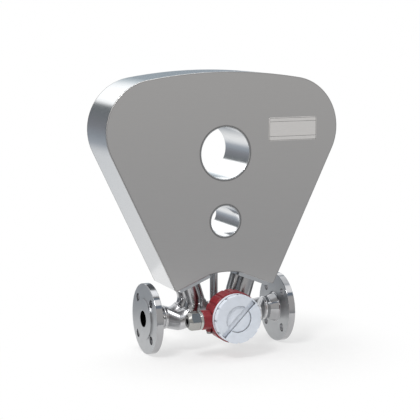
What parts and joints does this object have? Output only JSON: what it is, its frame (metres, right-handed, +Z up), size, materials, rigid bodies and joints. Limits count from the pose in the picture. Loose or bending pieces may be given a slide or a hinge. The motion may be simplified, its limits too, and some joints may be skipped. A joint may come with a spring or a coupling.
{
  "type": "coriolis mass flow meter",
  "caption": "Coriolis mass flow meter: wedge shaped steel housing with two round openings, twin bent measuring tubes, weld neck flanges and a round transmitter with a screw cover",
  "frame": {"origin": "centre of the bore in the inlet sealing face", "axes": "+X runs with the flow from inlet to outlet, +Z points up through the housing, the transmitter looks along -Y"},
  "size_m": [0.5222, 0.207, 0.5946],
  "materials": {
    "housing_plate": "satin brushed stainless sheet",
    "housing_sheet": "satin brushed stainless sheet",
    "sleeve_steel": "smooth turned stainless tube",
    "nameplate_metal": "matt bare plate",
    "flange_steel": "turned stainless steel",
    "weld_metal": "bright brushed weld",
    "cast_steel": "polished stainless casting",
    "tube_steel": "polished stainless tube",
    "bar_steel": "machined stainless bar",
    "coil_brown": "potted winding",
    "magnet_steel": "plated magnet",
    "sensor_steel": "clamp shoe",
    "red_paint": "satin red coat on die casting",
    "cover_paint": "satin pale grey coat on die casting",
    "seal_rubber": "black rubber",
    "board_green": "coated board",
    "screw_steel": "plated screw",
    "terminal_grey": "moulded terminal block",
    "gland_body_metal": "nickel plated",
    "gland_metal": "nickel plated, satin"
  },
  "bodies": {
    "meter": {"board_screws": "screw_steel", "circuit_board": "board_green", "conduit": "bar_steel", "conduit_base": "cast_steel", "conduit_ferrule": "bar_steel", "flange_weld_beads": "weld_metal", "front_mass_bar": "bar_steel", "front_measuring_tube": "tube_steel", "front_torsion_rod": "bar_steel", "gland_body": "gland_body_metal", "gland_seal": "seal_rubber", "ground_screw": "screw_steel", "housing_arch_plate": "housing_sheet", "housing_band": "housing_sheet", "housing_bottom_left": "housing_sheet", "housing_bottom_right": "housing_sheet", "housing_front_plate": "housing_plate", "housing_rear_plate": "housing_plate", "inlet_flange": "flange_steel", "inlet_splitter": "cast_steel", "left_drive_coil": "coil_brown", "left_drive_magnet": "magnet_steel", "left_pickup_coil": "coil_brown", "left_pickup_magnet": "magnet_steel", "lower_sleeve": "sleeve_steel", "nameplate": "nameplate_metal", "outlet_flange": "flange_steel", "outlet_splitter": "cast_steel", "rear_mass_bar": "bar_steel", "rear_measuring_tube": "tube_steel", "rear_torsion_rod": "bar_steel", "right_drive_coil": "coil_brown", "right_drive_magnet": "magnet_steel", "right_pickup_coil": "coil_brown", "right_pickup_magnet": "magnet_steel", "rod_anchor": "cast_steel", "spine": "cast_steel", "temperature_sensor": "sensor_steel", "terminal_block": "terminal_grey", "terminal_screws": "screw_steel", "transmitter_housing": "red_paint", "transmitter_neck": "cast_steel", "tube_weld_beads": "weld_metal", "upper_sleeve": "sleeve_steel"},
    "cover_slide": {"cover_seal": "seal_rubber"},
    "cover": {"screw_cover": "cover_paint"},
    "gland_slide": {"gland_thrust_ring": "gland_metal"},
    "cap_nut": {"gland_nut": "gland_metal"}
  },
  "joints": [
    {"name": "cover_lift", "type": "slide", "parent": "meter", "child": "cover_slide", "axis": [0, -1, 0], "range_m": [0, 0.01]},
    {"name": "cover_turn", "type": "hinge", "parent": "cover_slide", "child": "cover", "pos_m": [0.1625, -0.112, 0.012], "axis": [0, -1, 0], "range_deg": [0, 1800]},
    {"name": "gland_lift", "type": "slide", "parent": "meter", "child": "gland_slide", "axis": [-1, 0, 0], "range_m": [0, 0.006]},
    {"name": "gland_turn", "type": "hinge", "parent": "gland_slide", "child": "cap_nut", "pos_m": [0.0725, -0.094, 0.009], "axis": [-1, 0, 0], "range_deg": [0, 1440]}
  ],
  "couplings": [
    {"joint": "cover_lift", "follows": "cover_turn", "m_per_rad": 0.0003183},
    {"joint": "gland_lift", "follows": "gland_turn", "m_per_rad": 0.00023873}
  ]
}
